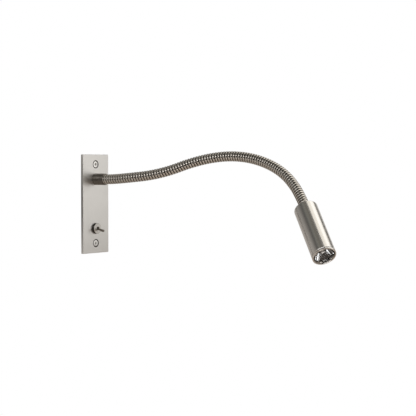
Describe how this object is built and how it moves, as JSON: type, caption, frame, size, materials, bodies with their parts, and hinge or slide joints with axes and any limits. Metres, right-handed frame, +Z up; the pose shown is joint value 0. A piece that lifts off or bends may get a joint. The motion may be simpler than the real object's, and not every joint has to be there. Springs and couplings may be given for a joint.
{
  "type": "swing arm wall lamp",
  "caption": "Wall reading lamp: a narrow plate with a toggle switch, a ribbed bending arm and a small cylindrical LED spotlight.",
  "frame": {"origin": "middle of the face plate's back face, which lies on the wall", "axes": "+Y into the wall, +Z up, +X to the right of someone who faces the lamp"},
  "size_m": [0.0797, 0.3856, 0.1234],
  "materials": {
    "board_green": "glass-epoxy board with its parts",
    "box_steel": "galvanised sheet steel",
    "clear_lens": "polished clear optic",
    "fitting_brass": "turned brass",
    "gunmetal": "dark nickel plated steel, finely brushed",
    "hose_steel": "nickel plated wound steel strip",
    "jacket_grey": "smooth flexible cable jacket",
    "led_board_white": "white lacquered aluminium board",
    "led_yellow": "phosphor under a clear silicone dome",
    "lever_steel": "dark nickel plated steel",
    "pad_grey": "soft thermal pad",
    "plastic_black": "moulded black nylon",
    "plastic_white": "moulded white polycarbonate",
    "rubber_black": "moulded rubber",
    "satin_head": "satin nickel plated aluminium, finely brushed",
    "satin_plate": "satin nickel plated steel, finely brushed",
    "screw_steel": "polished stainless steel",
    "sink_aluminium": "turned bare aluminium",
    "wire_brown": "brown insulated wire",
    "wire_green": "green and yellow insulated wire"
  },
  "bodies": {
    "base": {"front_plate": "satin_plate", "plate_screws": "screw_steel", "back_box": "box_steel", "box_grommet": "rubber_black", "ferrule": "gunmetal", "root_fitting": "fitting_brass", "earth_tag": "fitting_brass", "root_locknut": "fitting_brass", "arm_hose_01": "hose_steel", "arm_lead_01": "jacket_grey", "dress_nut": "satin_plate", "switch_bushing": "screw_steel", "switch_washer": "box_steel", "switch_nut": "screw_steel", "switch_frame": "box_steel", "switch_case": "plastic_black", "switch_terminals": "fitting_brass", "driver_case": "plastic_white", "driver_cover": "plastic_white", "driver_board": "board_green", "terminal_block": "plastic_white", "terminal_screws": "screw_steel", "box_wires": "wire_brown", "earth_wire": "wire_green"},
    "arm_02": {"arm_hose_02": "hose_steel", "arm_lead_02": "jacket_grey"},
    "arm_03": {"arm_hose_03": "hose_steel", "arm_lead_03": "jacket_grey"},
    "arm_04": {"arm_hose_04": "hose_steel", "arm_lead_04": "jacket_grey"},
    "arm_05": {"arm_hose_05": "hose_steel", "arm_lead_05": "jacket_grey"},
    "arm_06": {"arm_hose_06": "hose_steel", "arm_lead_06": "jacket_grey"},
    "arm_07": {"arm_hose_07": "hose_steel", "arm_lead_07": "jacket_grey"},
    "arm_08": {"arm_hose_08": "hose_steel", "arm_lead_08": "jacket_grey"},
    "arm_09": {"arm_hose_09": "hose_steel", "arm_lead_09": "jacket_grey"},
    "arm_10": {"arm_hose_10": "hose_steel", "arm_lead_10": "jacket_grey"},
    "arm_11": {"arm_hose_11": "hose_steel", "arm_lead_11": "jacket_grey"},
    "head": {"arm_hose_12": "hose_steel", "arm_lead_12": "jacket_grey", "head_shell": "satin_head", "head_fitting": "fitting_brass", "head_locknut": "fitting_brass", "heat_sink": "sink_aluminium", "thermal_pad": "pad_grey", "led_board": "led_board_white", "led_emitter": "led_yellow", "led_screws": "screw_steel", "lens_holder": "plastic_black", "lens": "clear_lens", "lens_gasket": "rubber_black", "front_ring": "satin_head"},
    "toggle": {"toggle_lever": "lever_steel"},
    "rocker": {"contact_rocker": "fitting_brass"}
  },
  "joints": [
    {"name": "arm_nod_01", "type": "hinge", "parent": "base", "child": "arm_02", "pos_m": [0.00219, -0.04404, 0.0311], "axis": [-0.9848, -0.1736, 0], "range_deg": [-14, 14]},
    {"name": "arm_sway_02", "type": "hinge", "parent": "arm_02", "child": "arm_03", "pos_m": [0.00825, -0.06836, 0.03352], "axis": [-0.0323, 0.0994, 0.9945], "range_deg": [-14, 14]},
    {"name": "arm_nod_03", "type": "hinge", "parent": "arm_03", "child": "arm_04", "pos_m": [0.01673, -0.0917, 0.03768], "axis": [-0.9272, -0.3746, 0], "range_deg": [-14, 14]},
    {"name": "arm_sway_04", "type": "hinge", "parent": "arm_04", "child": "arm_05", "pos_m": [0.02597, -0.11401, 0.04483], "axis": [-0.1336, 0.3148, 0.9397], "range_deg": [-14, 14]},
    {"name": "arm_nod_05", "type": "hinge", "parent": "arm_05", "child": "arm_06", "pos_m": [0.03538, -0.13618, 0.0522], "axis": [-0.9205, -0.3907, 0], "range_deg": [-14, 14]},
    {"name": "arm_sway_06", "type": "hinge", "parent": "arm_06", "child": "arm_07", "pos_m": [0.04364, -0.15955, 0.05657], "axis": [-0.0288, 0.1005, 0.9945], "range_deg": [-14, 14]},
    {"name": "arm_nod_07", "type": "hinge", "parent": "arm_07", "child": "arm_08", "pos_m": [0.04886, -0.18414, 0.05701], "axis": [-0.9903, -0.1392, 0], "range_deg": [-14, 14]},
    {"name": "arm_sway_08", "type": "hinge", "parent": "arm_08", "child": "arm_09", "pos_m": [0.05105, -0.20889, 0.05307], "axis": [0.0084, -0.2418, 0.9703], "range_deg": [-14, 14]},
    {"name": "arm_nod_09", "type": "hinge", "parent": "arm_09", "child": "arm_10", "pos_m": [0.05026, -0.23273, 0.04507], "axis": [-0.9945, 0.1045, 0], "range_deg": [-14, 14]},
    {"name": "arm_sway_10", "type": "hinge", "parent": "arm_10", "child": "arm_11", "pos_m": [0.04632, -0.25446, 0.03305], "axis": [-0.1447, -0.5401, 0.829], "range_deg": [-14, 14]},
    {"name": "arm_nod_11", "type": "hinge", "parent": "arm_11", "child": "head", "pos_m": [0.0397, -0.27296, 0.01735], "axis": [-0.9063, 0.4226, 0], "range_deg": [-14, 14]},
    {"name": "toggle_tilt", "type": "hinge", "parent": "base", "child": "toggle", "pos_m": [0, -0.0036, -0.03], "axis": [-1, 0, 0], "range_deg": [0, 25]},
    {"name": "rocker_tilt", "type": "hinge", "parent": "base", "child": "rocker", "pos_m": [0, 0.0077, -0.03], "axis": [-1, 0, 0], "range_deg": [-16, 0]}
  ],
  "couplings": [
    {"joint": "rocker_tilt", "follows": "toggle_tilt", "ratio": -0.64}
  ]
}
